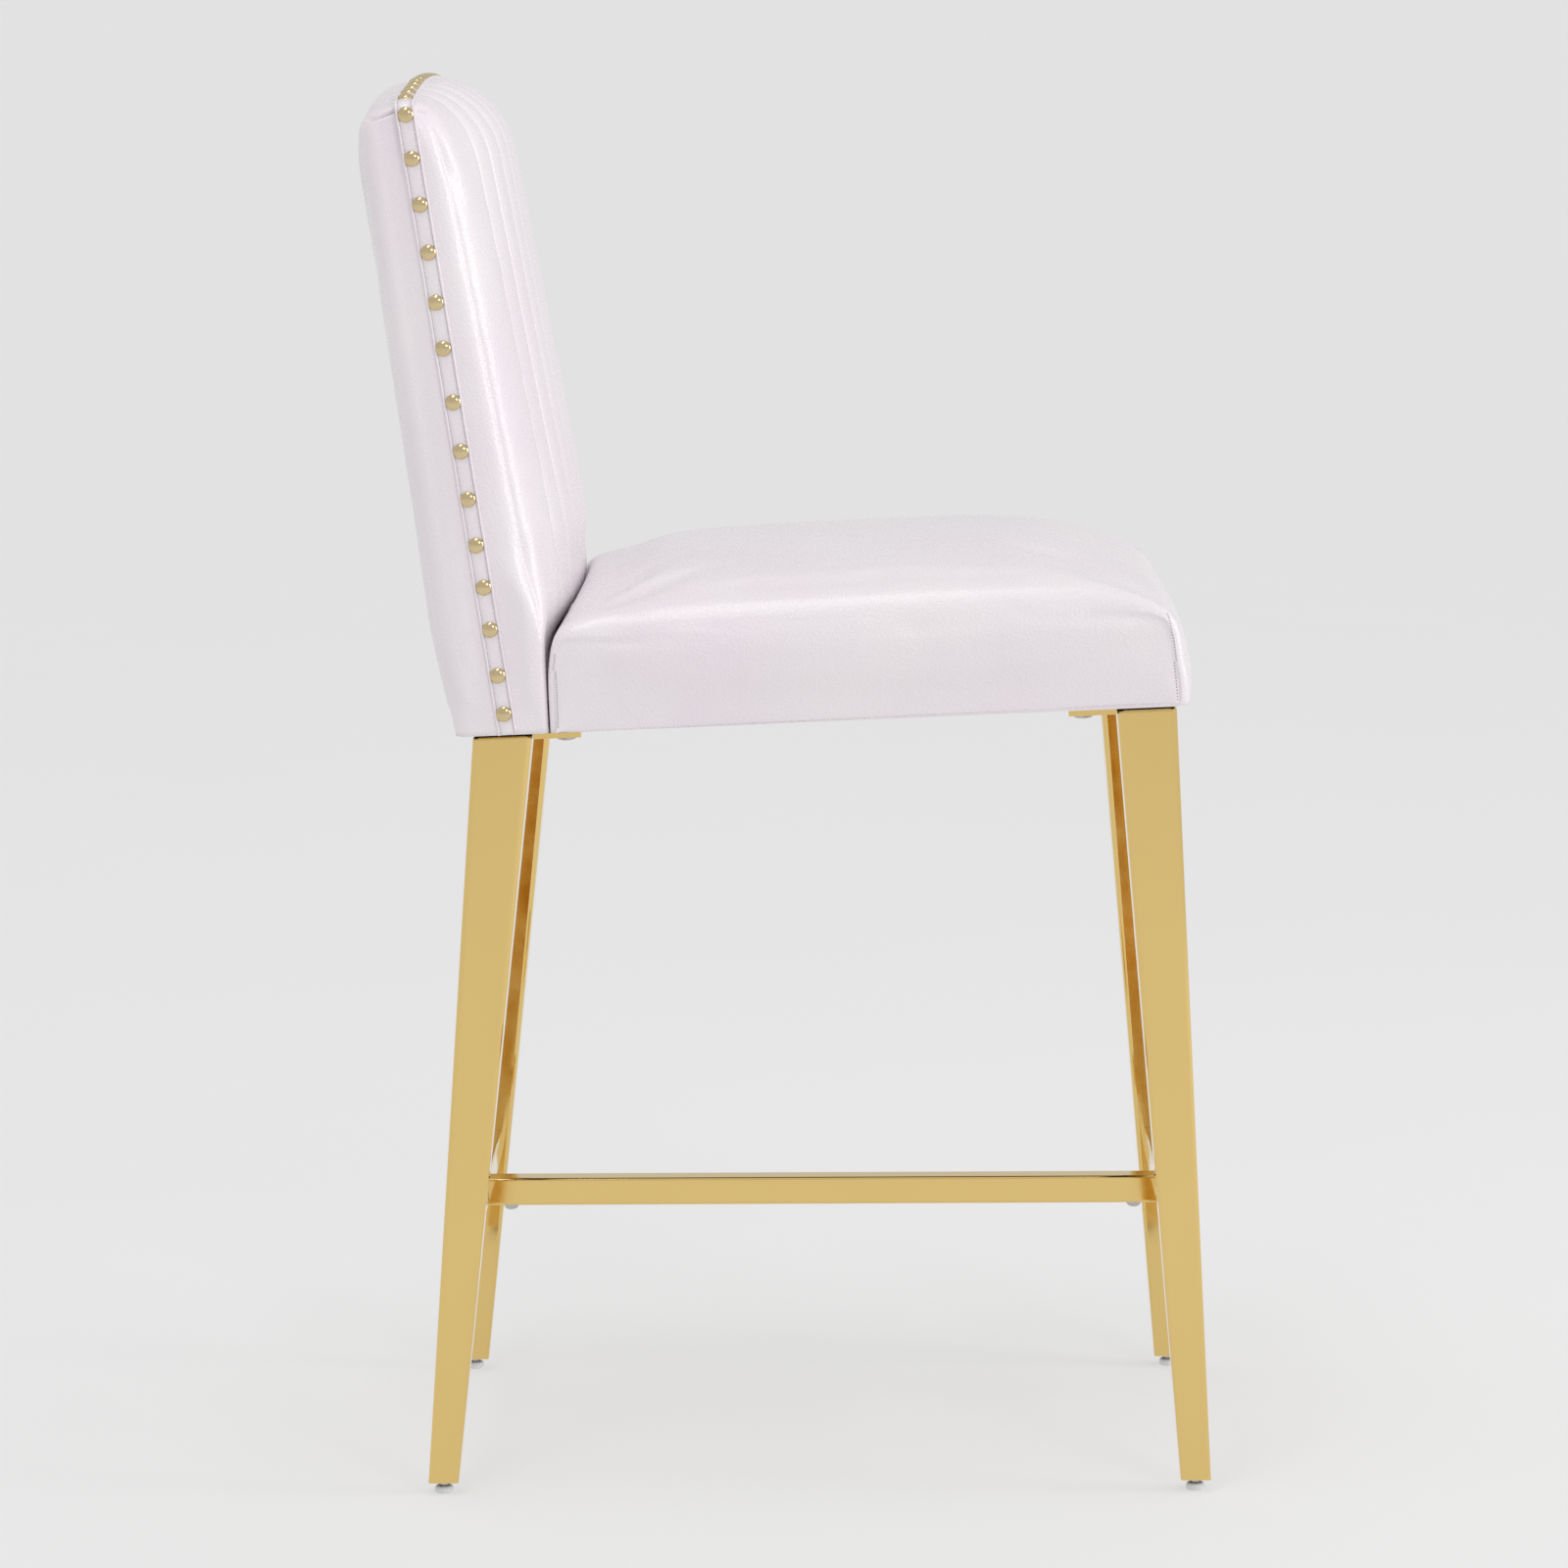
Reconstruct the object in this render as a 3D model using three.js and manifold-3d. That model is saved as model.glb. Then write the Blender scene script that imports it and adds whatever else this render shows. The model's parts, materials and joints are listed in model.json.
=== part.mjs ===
// Counter-height bar stool: an upholstered seat and channelled back on four tapered
// square-tube legs, braced by an H-shaped footrest and standing on screw-in levellers.
//
// Millimetres, +Z up. The stool faces -Y, and left and right are the sitter's, so the
// right-hand side is at -X. The origin is on the floor, below the middle of the stool.

import * as THREE from 'three';
import { mergeVertices } from 'three/addons/utils/BufferGeometryUtils.js';
import Module from 'manifold-3d';

const wasm = await Module();
wasm.setup();

// ---------------------------------------------------------------- driving dimensions

const gap = 0.3; // between pieces that touch
const softGap = 0.6; // between padding and the cover round it

// The underside of the seat slopes down towards the rear. Everything above the legs is
// built in a frame whose z = 0 is that sloping plane.
const seatSlope = THREE.MathUtils.degToRad(2.15);
const planeHeightAtMiddle = 542.2;

// Each leg is a square tube that narrows towards the floor, with its outer side upright.
const legTopWidth = 41;
const legBottomWidth = 21;
const legBottom = 8.7;
const legOuterX = 204;
const legWall = 1.5;
const legTopRound = 3;
const legs = {
  front: { topY: -246, bottomY: -280.5 },
  rear: { topY: 197, bottomY: 244.5 },
};

// L-shaped mounting plates, each round the inner corner of a leg's top.
const plateThickness = 4;
const plateReach = 33;
const plateEar = 34;
const boltOffset = 22.5; // from the leg's inner face

const boltShank = 6;
const boltHead = 15.5;
const boltHeadHeight = 3.3;
const boltLength = 17;
const insertDiameter = 9.6;
const insertLength = 11;

// Footrest: a rail across each pair of legs and a bar between the two rails.
const tubeSize = 20;
const tubeWall = 1.5;
const tubeCorner = 2;
const railTop = 186.5;
const railOutset = 2; // the rails stand this far outside the legs' centre lines
const tongueLength = 28;
const screwInset = 16; // from the rail to the bar screw
const screwShank = 5;
const screwHead = 11.4;
const screwHeadHeight = 4;

// Levellers.
const padDiameter = 13;
const padHeight = 5.5;
const padFloor = 2;
const studDiameter = 6;
const studTop = 28;
const plugHeight = 14;
const threadClearance = 0.3;

// Seat, in the sloping frame.
const dustCoverBottom = 0.3;
const dustCoverThickness = 0.8;
const coverBottom = 1.4;
const leather = 1.5;
const boardBottom = 3.2;
const boardThickness = 15;
const seat = {
  halfWidth: 214, front: -284, rear: 163.5, side: 96, crown: 21, corner: 8, edge: 26,
};
const frontBow = 10; // how far the seat's front edge curves back at its corners
const hemWidth = 22;

// Back, in the sloping frame.
const back = { halfWidth: 214, side: 434, arch: 12, crown: 29, rearCrown: 1.9, corner: 10, edge: 14 };
const backFoot = 164.5; // the front of the back, where it stands behind the seat
const trimWidth = 13;
const trimThickness = 1.2;
const nailLineFoot = 192.5;
const nailLineLean = 0.1132;
const woodHalfWidth = 208;
const woodTop = 418;
const panelThickness = 6;
const railDepth = 42;
const stileWidth = 36;
const jointBolt = { x: 90, z: 10.7, from: 128, to: 216, shank: 6, head: 12, headHeight: 4 };

// ---------------------------------------------------------------- materials

function metal(color, roughness) {
  return new THREE.MeshStandardMaterial({ color, roughness, metalness: 1 });
}

function matt(color, roughness) {
  return new THREE.MeshStandardMaterial({ color, roughness, metalness: 0 });
}

const gold = () => metal(0xcdb273, 0.08);
const zinc = () => metal(0xc9c9c6, 0.25);
const brass = () => metal(0xb08d4a, 0.35);
const whiteLeather = () => matt(0xf1eaf0, 0.4);
const foam = () => matt(0xe9dfb8, 0.95);
const timber = () => matt(0xc9a878, 0.75);
const blackCloth = () => matt(0x1b1b1d, 0.95);
const blackPlastic = () => matt(0x202022, 0.6);
const whitePlastic = () => matt(0xe8e8ea, 0.45);

// ---------------------------------------------------------------- solids

const { lerp, clamp, smoothstep } = THREE.MathUtils;

// A manifold solid from a closed geometry.
function solid(geometry) {
  const bare = geometry.clone();
  bare.deleteAttribute('normal');
  bare.deleteAttribute('uv');
  const merged = mergeVertices(bare, 1e-4);
  return new wasm.Manifold(new wasm.Mesh({
    numProp: 3,
    vertProperties: new Float32Array(merged.attributes.position.array),
    triVerts: new Uint32Array(merged.index.array),
  }));
}

// The geometry of a manifold solid.
function surface(manifold) {
  const mesh = manifold.getMesh();
  const geometry = new THREE.BufferGeometry();
  geometry.setAttribute('position', new THREE.BufferAttribute(mesh.vertProperties, 3));
  geometry.setIndex(new THREE.BufferAttribute(mesh.triVerts, 1));
  geometry.computeVertexNormals();
  return geometry;
}

// Moves every vertex of a geometry with a function of its position.
function warp(geometry, move) {
  const position = geometry.attributes.position;
  const point = new THREE.Vector3();
  for (let i = 0; i < position.count; i += 1) {
    point.fromBufferAttribute(position, i);
    move(point);
    position.setXYZ(i, point.x, point.y, point.z);
  }
  return geometry;
}

function box(xMin, xMax, yMin, yMax, zMin, zMax) {
  const block = new THREE.BoxGeometry(xMax - xMin, yMax - yMin, zMax - zMin);
  return block.translate((xMin + xMax) / 2, (yMin + yMax) / 2, (zMin + zMax) / 2);
}

function rod(diameter, zMin, zMax) {
  const cylinder = new THREE.CylinderGeometry(diameter / 2, diameter / 2, zMax - zMin, 12);
  return cylinder.rotateX(Math.PI / 2).translate(0, 0, (zMin + zMax) / 2);
}

// A turned piece on the Z axis, from [radius, z] pairs that run up its outside.
function turned(profile, facets = 12) {
  const points = profile.map(([radius, z]) => new THREE.Vector2(radius, z));
  return new THREE.LatheGeometry(points, facets).rotateX(Math.PI / 2);
}

// A rectangle with rounded corners, centred on the origin.
function roundedRectangle(width, height, radius) {
  const x = width / 2 - radius;
  const y = height / 2 - radius;
  const outline = new THREE.Shape();
  outline.absarc(x, y, radius, 0, Math.PI / 2);
  outline.absarc(-x, y, radius, Math.PI / 2, Math.PI);
  outline.absarc(-x, -y, radius, Math.PI, 1.5 * Math.PI);
  outline.absarc(x, -y, radius, 1.5 * Math.PI, 2 * Math.PI);
  return outline;
}

function extrude(outline, depth, steps = 1) {
  return new THREE.ExtrudeGeometry(outline, { depth, steps, bevelEnabled: false, curveSegments: 2 });
}

// Shares a form's levels out over an upright side and the rounded edge above it: how far
// a level lies below the top, and how far it is drawn in.
function edgeLevel(share, levels, radius) {
  const turn = (Math.max(0, share * levels - 1) / (levels - 1)) * (Math.PI / 2);
  return { drop: radius * (1 - Math.sin(turn)), inset: radius * (1 - Math.cos(turn)) };
}

// Rounds the corners of a plan: a point of the square -a..a, -b..b moves to the place that
// it has once the corners are arcs.
function roundPlan(x, y, a, b, radius) {
  const innerX = clamp(x, radius - a, a - radius);
  const innerY = clamp(y, radius - b, b - radius);
  const dx = x - innerX;
  const dy = y - innerY;
  const length = Math.hypot(dx, dy);
  const pull = length > 0 ? Math.max(Math.abs(dx), Math.abs(dy)) / length : 1;
  return [innerX + dx * pull, innerY + dy * pull];
}

// Moves grid lines of -1..1 closer together towards both ends.
function gather(u) {
  return Math.sin((u * Math.PI) / 2);
}

function mesh(name, geometry, material) {
  const piece = new THREE.Mesh(geometry, material);
  piece.name = name;
  return piece;
}

const sides = { left: 1, right: -1 };
const ends = ['front', 'rear'];

// ---------------------------------------------------------------- legs

const slope = Math.tan(seatSlope);

// Height of the sloping plane above the floor.
function planeHeight(y) {
  return planeHeightAtMiddle - y * slope;
}

// A leg's width and centre, at a share t of its length from the foot.
function legSection(end, t) {
  const width = lerp(legBottomWidth, legTopWidth, t);
  const { topY, bottomY } = legs[end];
  return { width, x: legOuterX - width / 2, y: lerp(bottomY, topY, t) };
}

// The share of a leg's length that lies below a height.
function legShare(end, z) {
  return (z - legBottom) / (planeHeight(legs[end].topY) - legBottom);
}

// The outside of a leg, with its top edge rounded and its top in the sloping plane.
function legOutside(end, side) {
  const levels = 5;
  return warp(extrude(roundedRectangle(1, 1, 0.1), 1, levels), (p) => {
    const { drop, inset } = edgeLevel(p.z, levels, legTopRound);
    const t = p.z < 0.5 / levels ? 0 : 1;
    const section = legSection(end, t);
    const width = section.width - 2 * inset;
    const x = side * section.x + p.x * width;
    const y = section.y + p.y * width;
    p.set(x, y, t === 0 ? legBottom : planeHeight(y) - drop);
  });
}

// The space inside a leg, a distance in from its outside and open at the foot.
function legInside(end, side, inset) {
  const below = -0.02;
  return warp(extrude(roundedRectangle(1, 1, 0.07), 1), (p) => {
    const t = p.z === 0 ? below : 1;
    const section = legSection(end, t);
    const width = section.width - 2 * inset;
    const y = section.y + p.y * width;
    const top = planeHeight(y) - plateThickness;
    const foot = legBottom + below * (top - legBottom);
    p.set(side * section.x + p.x * width, y, p.z === 0 ? foot : top);
  });
}

function leg(end, side) {
  return surface(solid(legOutside(end, side)).subtract(solid(legInside(end, side, legWall))));
}

// ---------------------------------------------------------------- levellers

// The threaded plug in a leg's foot.
function legPlug(end, side) {
  const foot = legSection(end, 0);
  const reach = 2 * legTopWidth;
  const slice = box(-reach, reach, -reach, reach, legBottom, legBottom + plugHeight);
  slice.translate(side * foot.x, foot.y, 0);
  const bore = rod(studDiameter + 2 * threadClearance, 0, 4 * plugHeight);
  bore.translate(side * foot.x, foot.y, 0);
  const body = solid(legInside(end, side, legWall + gap)).intersect(solid(slice));
  return surface(body.subtract(solid(bore)));
}

function levellerPad() {
  const radius = padDiameter / 2;
  const socket = studDiameter / 2 + threadClearance;
  return turned([
    [0, 0], [radius - 1, 0], [radius, 0.8], [radius, padHeight - 2], [radius - 0.6, padHeight - 0.7],
    [radius - 2, padHeight], [socket, padHeight], [socket, padFloor], [0, padFloor],
  ], 16);
}

function levellerStud() {
  const radius = studDiameter / 2;
  const foot = padFloor + threadClearance;
  return turned([[0, foot], [radius, foot], [radius, studTop - 1], [radius - 1, studTop], [0, studTop]]);
}

// ---------------------------------------------------------------- footrest

const railMiddle = railTop - tubeSize / 2;

// The middle of a cross rail, fore and aft.
function railY(end) {
  const outset = end === 'front' ? -railOutset : railOutset;
  return legSection(end, legShare(end, railMiddle)).y + outset;
}

function squareTube(length, steps = 1) {
  const outline = roundedRectangle(tubeSize, tubeSize, tubeCorner);
  const hollow = tubeSize - 2 * tubeWall;
  outline.holes.push(roundedRectangle(hollow, hollow, tubeCorner / 2));
  return extrude(outline, length, steps);
}

// A rail between two legs, its ends cut to the legs' sloping inner sides.
function crossRail(end) {
  const tube = squareTube(2, 1).translate(0, 0, -1);
  return warp(tube.rotateY(Math.PI / 2), (p) => {
    const z = railMiddle + p.z;
    const inner = legOuterX - legSection(end, legShare(end, z)).width;
    p.set(Math.sign(p.x) * (inner - gap), railY(end) + p.y, z);
  });
}

// The upright hole of a bar screw.
function screwHole(y) {
  return solid(rod(screwShank + 2 * threadClearance, 0, 2 * railTop).translate(0, y, 0));
}

const barScrewY = {
  front: railY('front') + tubeSize / 2 + screwInset,
  rear: railY('rear') - tubeSize / 2 - screwInset,
};

function centreBar() {
  const from = railY('front') + tubeSize / 2 + gap;
  const to = railY('rear') - tubeSize / 2 - gap;
  const tube = squareTube(to - from).rotateX(-Math.PI / 2).translate(0, from, railMiddle);
  const lowerHalf = solid(box(-tubeSize, tubeSize, from - 1, to + 1, railMiddle - tubeSize, railMiddle));
  const holes = ends.map((end) => screwHole(barScrewY[end]).intersect(lowerHalf));
  return surface(holes.reduce((bar, hole) => bar.subtract(hole), solid(tube)));
}

// The tongue on a rail's inner face, which the end of the centre bar slides over.
function barTongue(end) {
  const size = tubeSize - 2 * (tubeWall + gap);
  const inward = end === 'front' ? 1 : -1;
  const foot = railY(end) + inward * (tubeSize / 2 + gap);
  const middle = foot + (inward * tongueLength) / 2;
  const block = extrude(roundedRectangle(size, size, 0.6), tongueLength);
  block.rotateX(-Math.PI / 2).translate(0, middle - tongueLength / 2, railMiddle);
  return surface(solid(block).subtract(screwHole(barScrewY[end])));
}

// A domed head with a round recess, below a shank that points up from z = 0.
function domedScrew(shank, length, head, height) {
  const radius = head / 2;
  const recess = shank * 0.4;
  return turned([
    [0, -height / 2], [recess, -height / 2], [recess, -height], [radius * 0.45, -height],
    [radius * 0.8, -height * 0.75], [radius, -height * 0.25], [radius, 0],
    [shank / 2, 0], [shank / 2, length - 1], [shank / 2 - 1, length], [0, length],
  ]);
}

// ---------------------------------------------------------------- leg plates

// The inner corner of a leg's top, which its plate wraps round, in the sloping frame.
function plateCorner(end, side) {
  const inward = end === 'front' ? 1 : -1;
  return {
    x: side * (legOuterX - legTopWidth - gap),
    y: legs[end].topY + inward * (legTopWidth / 2 + gap),
    inX: -side,
    inY: inward,
  };
}

// Where a plate's two bolts go: one fore or aft of the leg, one beside it.
function plateBolts(end, side) {
  const corner = plateCorner(end, side);
  const legMiddle = legTopWidth / 2;
  return {
    inner: [corner.x + corner.inX * boltOffset, corner.y - corner.inY * legMiddle],
    outer: [corner.x - corner.inX * legMiddle, corner.y + corner.inY * boltOffset],
  };
}

function legPlate(end, side) {
  const { x, y, inX, inY } = plateCorner(end, side);
  const far = legTopWidth / 2 + plateEar / 2;
  const outline = new THREE.Shape();
  outline.moveTo(x, y);
  outline.lineTo(x, y - inY * far);
  outline.lineTo(x + inX * plateReach, y - inY * far);
  outline.lineTo(x + inX * plateReach, y + inY * (plateReach - 12));
  outline.lineTo(x + inX * (plateReach - 12), y + inY * plateReach);
  outline.lineTo(x - inX * far, y + inY * plateReach);
  outline.lineTo(x - inX * far, y);
  const plate = solid(extrude(outline, plateThickness).translate(0, 0, -plateThickness));
  const hole = boltShank + 2 * threadClearance;
  const drilled = Object.values(plateBolts(end, side)).reduce(
    (piece, [boltX, boltY]) => {
      const bore = rod(hole, -2 * plateThickness, plateThickness).translate(boltX, boltY, 0);
      return piece.subtract(solid(bore));
    },
    plate,
  );
  return surface(drilled);
}

function threadedInsert() {
  const outer = insertDiameter / 2;
  const inner = boltShank / 2 + threadClearance;
  const from = boardBottom + gap;
  const to = from + insertLength;
  return turned([[inner, from], [outer, from], [outer, to], [inner, to], [inner, from]]);
}

// The holes that the plate bolts need in a sheet or board of the underside.
function boltHoles(diameter) {
  const holes = [];
  for (const end of ends) {
    for (const side of Object.values(sides)) {
      for (const [x, y] of Object.values(plateBolts(end, side))) {
        holes.push(solid(rod(diameter, -5, boardBottom + insertLength + 2 * gap).translate(x, y, 0)));
      }
    }
  }
  return holes;
}

function drill(body, holes) {
  return holes.reduce((piece, hole) => piece.subtract(hole), body);
}

// The two level bolts that join the back to the seat board.
function jointBoltHoles() {
  const { x, z, from, to, shank, head } = jointBolt;
  const long = to - from + 1;
  const counterboreDepth = 11;
  return Object.values(sides).flatMap((side) => {
    const hole = rod(shank + 2 * threadClearance, 0, long).rotateX(-Math.PI / 2);
    const counterbore = rod(head + 2 * threadClearance, 0, counterboreDepth).rotateX(-Math.PI / 2);
    return [
      solid(hole.translate(side * x, from - 1, z)),
      solid(counterbore.translate(side * x, to - gap, z)),
    ];
  });
}

function levelBolt(side) {
  const { x, z, from, to, shank, head, headHeight } = jointBolt;
  const bolt = domedScrew(shank, to - from, head, headHeight);
  return bolt.rotateX(Math.PI / 2).translate(side * x, to, z);
}

// ---------------------------------------------------------------- seat

// A block with rounded corners and top edges and a crowned top, standing on z = foot.
// The depth of a point of the seat once the front edge is bowed.
function bowed(x, y) {
  const middle = (seat.front + seat.rear) / 2;
  const share = clamp((middle - y) / (middle - seat.front), 0, 1);
  return y + frontBow * (x / seat.halfWidth) ** 2 * share ** 2;
}

function cushion({ halfWidth, front, rear, side, crown, corner, edge }, inset, foot) {
  const levels = 5;
  const a = halfWidth - inset;
  const b = (rear - front) / 2 - inset;
  const top = side - inset;
  return warp(new THREE.BoxGeometry(2, 2, 1, 10, 10, levels).translate(0, 0, 0.5), (p) => {
    const level = edgeLevel(p.z, levels, edge - inset);
    const [u, v] = roundPlan(gather(p.x) * a, gather(p.y) * b, a, b, corner);
    const x = u * (1 - level.inset / a);
    const y = v * (1 - level.inset / b);
    const fullness = (1 - (x / a) ** 2) * (1 - (y / b) ** 4);
    const z = p.z < 0.5 / levels ? foot : top - level.drop + crown * fullness;
    p.set(x, bowed(x, y + (front + rear) / 2), z);
  });
}

function seatCover() {
  const outside = solid(cushion(seat, 0, coverBottom));
  const inside = solid(cushion(seat, leather, coverBottom + leather));
  const opening = solid(box(
    hemWidth - seat.halfWidth, seat.halfWidth - hemWidth,
    seat.front + hemWidth, seat.rear - hemWidth, 0, 2 * boardBottom,
  ));
  return surface(drill(outside, [inside, opening, ...boltHoles(boltShank + 4), ...jointBoltHoles()]));
}

function seatBoard() {
  const inset = leather + softGap;
  const a = seat.halfWidth - inset;
  const b = (seat.rear - seat.front) / 2 - inset;
  const block = new THREE.BoxGeometry(2, 2, boardThickness, 10, 10, 1);
  const board = warp(block.translate(0, 0, boardBottom + boardThickness / 2), (p) => {
    const [x, y] = roundPlan(gather(p.x) * a, gather(p.y) * b, a, b, seat.corner);
    p.set(x, bowed(x, y + (seat.front + seat.rear) / 2), p.z);
  });
  return surface(drill(solid(board), [...boltHoles(insertDiameter + 2 * gap), ...jointBoltHoles()]));
}

function seatFoam() {
  return cushion(seat, leather + softGap, boardBottom + boardThickness + gap);
}

// One sheet of black cloth under the seat and the foot of the back.
function dustCover() {
  const rearEdge = 222;
  const margin = 10;
  const width = 2 * (seat.halfWidth - margin);
  const depth = rearEdge - seat.front - margin;
  const sheet = new THREE.BoxGeometry(width, depth, dustCoverThickness, 10, 6, 1);
  sheet.translate(0, rearEdge - depth / 2, dustCoverBottom + dustCoverThickness / 2);
  warp(sheet, (p) => p.setY(bowed(p.x, p.y)));
  return surface(drill(solid(sheet), boltHoles(boltShank + 2)));
}

// ---------------------------------------------------------------- back

// The side edges of the back's front and rear faces, at a height.
function backFrontEdge(z) {
  return Math.max(backFoot, 160.5 + 0.155 * (z - 67));
}

function backRearEdge(z) {
  return 233.3 + 0.0947 * z - 4.8 * Math.max(0, 1 - z / 78);
}

// The upholstered back, or a body a distance inside it, carried on below its foot. Its
// front is crowned above the seat, and its top edge rises to the middle.
function backBody(inset) {
  const levels = 18;
  const roundLevels = 3;
  const below = -10;
  const a = back.halfWidth - inset;
  return warp(new THREE.BoxGeometry(2, 2, 1, 10, 4, levels).translate(0, 0, 0.5), (p) => {
    const upright = (levels - roundLevels) / levels;
    const turn = Math.max(0, (p.z - upright) / (1 - upright)) * (Math.PI / 2);
    const edge = back.edge - inset;
    const draw = edge * (1 - Math.cos(turn));
    const share = Math.min(1, p.z / upright);
    const height = lerp(below, back.side - back.edge, share) + edge * Math.sin(turn);
    const front = backFrontEdge(height) + inset;
    const rear = backRearEdge(height) - inset;
    const b = (rear - front) / 2;
    const corner = Math.max(2, back.corner - inset);
    const [u, v] = roundPlan(gather(p.x) * a, p.y * b, a, b, corner);
    const x = u * (1 - draw / a);
    const bulge = 1 - (x / a) ** 2;
    const frontShare = clamp((b - v) / (2 * b), 0, 1);
    const frontCrown = back.crown * smoothstep(height, 98, 130) * frontShare;
    const rearCrown = back.rearCrown * (1 - frontShare);
    const y = (front + rear) / 2 + v * (1 - draw / b) - bulge * (frontCrown - rearCrown);
    p.set(x, y, height + back.arch * bulge * share);
  });
}

// The line that the nails follow up the side of the back.
function nailLine(z) {
  return nailLineFoot + nailLineLean * z;
}

// Everything whose distance behind the nail line is between two values.
function nailSlice(from, to) {
  const reach = 2 * back.halfWidth;
  return solid(warp(box(-reach, reach, 0, 1, coverBottom, 2 * back.side), (p) => {
    p.y = nailLine(p.z) + lerp(from, to, p.y);
  }));
}

function backShell() {
  return drill(solid(backBody(0)), [solid(backBody(leather)), ...jointBoltHoles()]);
}

function trimBand() {
  const outside = solid(backBody(-gap - trimThickness));
  const band = outside.intersect(nailSlice(-trimWidth / 2, trimWidth / 2));
  return surface(band.subtract(solid(backBody(-gap))));
}

// Front and rear planes of the wooden frame inside the back.
function woodFront(z) {
  return 174.5 + 0.127 * z;
}

function woodRear(z) {
  return 225.3 + 0.0947 * z;
}

// A block of the wooden frame, between two leaning planes.
function woodBlock(xMin, xMax, zMin, zMax, front, rear) {
  return warp(box(xMin, xMax, 0, 1, zMin, zMax), (p) => {
    p.y = p.y === 0 ? front(p.z) : rear(p.z);
  });
}

const railFront = (z) => woodFront(z) + panelThickness + gap;

function backPanel() {
  const rear = (z) => woodFront(z) + panelThickness;
  const sheet = woodBlock(-woodHalfWidth, woodHalfWidth, boardBottom, woodTop, woodFront, rear);
  return surface(drill(solid(sheet), jointBoltHoles()));
}

function backBottomRail() {
  const rail = woodBlock(
    -woodHalfWidth, woodHalfWidth, boardBottom, boardBottom + railDepth, railFront, woodRear,
  );
  return surface(drill(solid(rail), [...boltHoles(insertDiameter + 2 * gap), ...jointBoltHoles()]));
}

function backTopRail() {
  const half = woodHalfWidth - stileWidth - gap;
  return woodBlock(-half, half, woodTop - railDepth, woodTop, railFront, woodRear);
}

function backStile(side) {
  const outer = side * woodHalfWidth;
  const inner = side * (woodHalfWidth - stileWidth);
  const foot = boardBottom + railDepth + gap;
  return woodBlock(Math.min(outer, inner), Math.max(outer, inner), foot, woodTop, railFront, woodRear);
}

// Padding between the wooden frame and the cover: in front of the panel, or behind it.
function backPadding(front, rear, foot) {
  const reach = 2 * back.halfWidth;
  const room = woodBlock(-reach, reach, foot, 2 * back.side, front, rear);
  return surface(solid(backBody(leather + softGap)).intersect(solid(room)));
}

// ---------------------------------------------------------------- assembly

function base() {
  const group = new THREE.Group();
  for (const end of ends) {
    for (const [name, side] of Object.entries(sides)) {
      const foot = legSection(end, 0);
      const leveller = new THREE.Group();
      leveller.position.set(side * foot.x, foot.y, 0);
      leveller.add(mesh(`${end}_${name}_leveller_pad`, levellerPad(), whitePlastic()));
      leveller.add(mesh(`${end}_${name}_leveller_stud`, levellerStud(), zinc()));
      group.add(leveller);
      group.add(mesh(`${end}_${name}_leg`, leg(end, side), gold()));
      group.add(mesh(`${end}_${name}_leg_plug`, legPlug(end, side), blackPlastic()));
    }
    const screw = domedScrew(screwShank, tubeSize - 3, screwHead, screwHeadHeight);
    screw.translate(0, barScrewY[end], railTop - tubeSize - gap);
    group.add(mesh(`${end}_rail`, crossRail(end), gold()));
    group.add(mesh(`${end}_bar_tongue`, barTongue(end), gold()));
    group.add(mesh(`${end}_bar_screw`, screw, zinc()));
  }
  group.add(mesh('centre_bar', centreBar(), gold()));
  return group;
}

function plates() {
  const group = new THREE.Group();
  for (const end of ends) {
    for (const [name, side] of Object.entries(sides)) {
      group.add(mesh(`${end}_${name}_leg_plate`, legPlate(end, side), gold()));
      for (const [place, [x, y]] of Object.entries(plateBolts(end, side))) {
        const bolt = domedScrew(boltShank, boltLength, boltHead, boltHeadHeight);
        bolt.translate(x, y, -plateThickness - gap);
        group.add(mesh(`${end}_${name}_${place}_bolt`, bolt, zinc()));
        const insert = threadedInsert().translate(x, y, 0);
        group.add(mesh(`${end}_${name}_${place}_insert`, insert, brass()));
      }
    }
  }
  return group;
}

function upholsteredSeat() {
  const group = new THREE.Group();
  group.add(mesh('dust_cover', dustCover(), blackCloth()));
  group.add(mesh('seat_board', seatBoard(), timber()));
  group.add(mesh('seat_foam', seatFoam(), foam()));
  group.add(mesh('seat_cover', seatCover(), whiteLeather()));
  return group;
}

function upholsteredBack() {
  const group = new THREE.Group();
  const far = 2 * back.side;
  const shell = backShell();
  group.add(mesh('back_panel', backPanel(), timber()));
  group.add(mesh('back_bottom_rail', backBottomRail(), timber()));
  group.add(mesh('back_top_rail', backTopRail(), timber()));
  for (const [name, side] of Object.entries(sides)) {
    group.add(mesh(`back_${name}_stile`, backStile(side), timber()));
    group.add(mesh(`back_${name}_joint_bolt`, levelBolt(side), zinc()));
  }
  const frontPadding = backPadding(() => 0, (z) => woodFront(z) - gap, 30);
  const rearPadding = backPadding((z) => woodRear(z) + gap, () => 2 * far, 60);
  group.add(mesh('back_foam', frontPadding, foam()));
  group.add(mesh('back_rear_padding', rearPadding, foam()));
  group.add(mesh('back_front_cover', surface(shell.intersect(nailSlice(-far, -gap))), whiteLeather()));
  group.add(mesh('back_rear_cover', surface(shell.intersect(nailSlice(gap, far))), whiteLeather()));
  group.add(mesh('back_trim_band', trimBand(), whiteLeather()));
  return group;
}

const upper = new THREE.Group();
upper.position.z = planeHeightAtMiddle;
upper.rotation.x = -seatSlope;
upper.add(plates(), upholsteredSeat(), upholsteredBack());

const stool = new THREE.Group();
stool.add(base(), upper);

export default stool;
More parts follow.
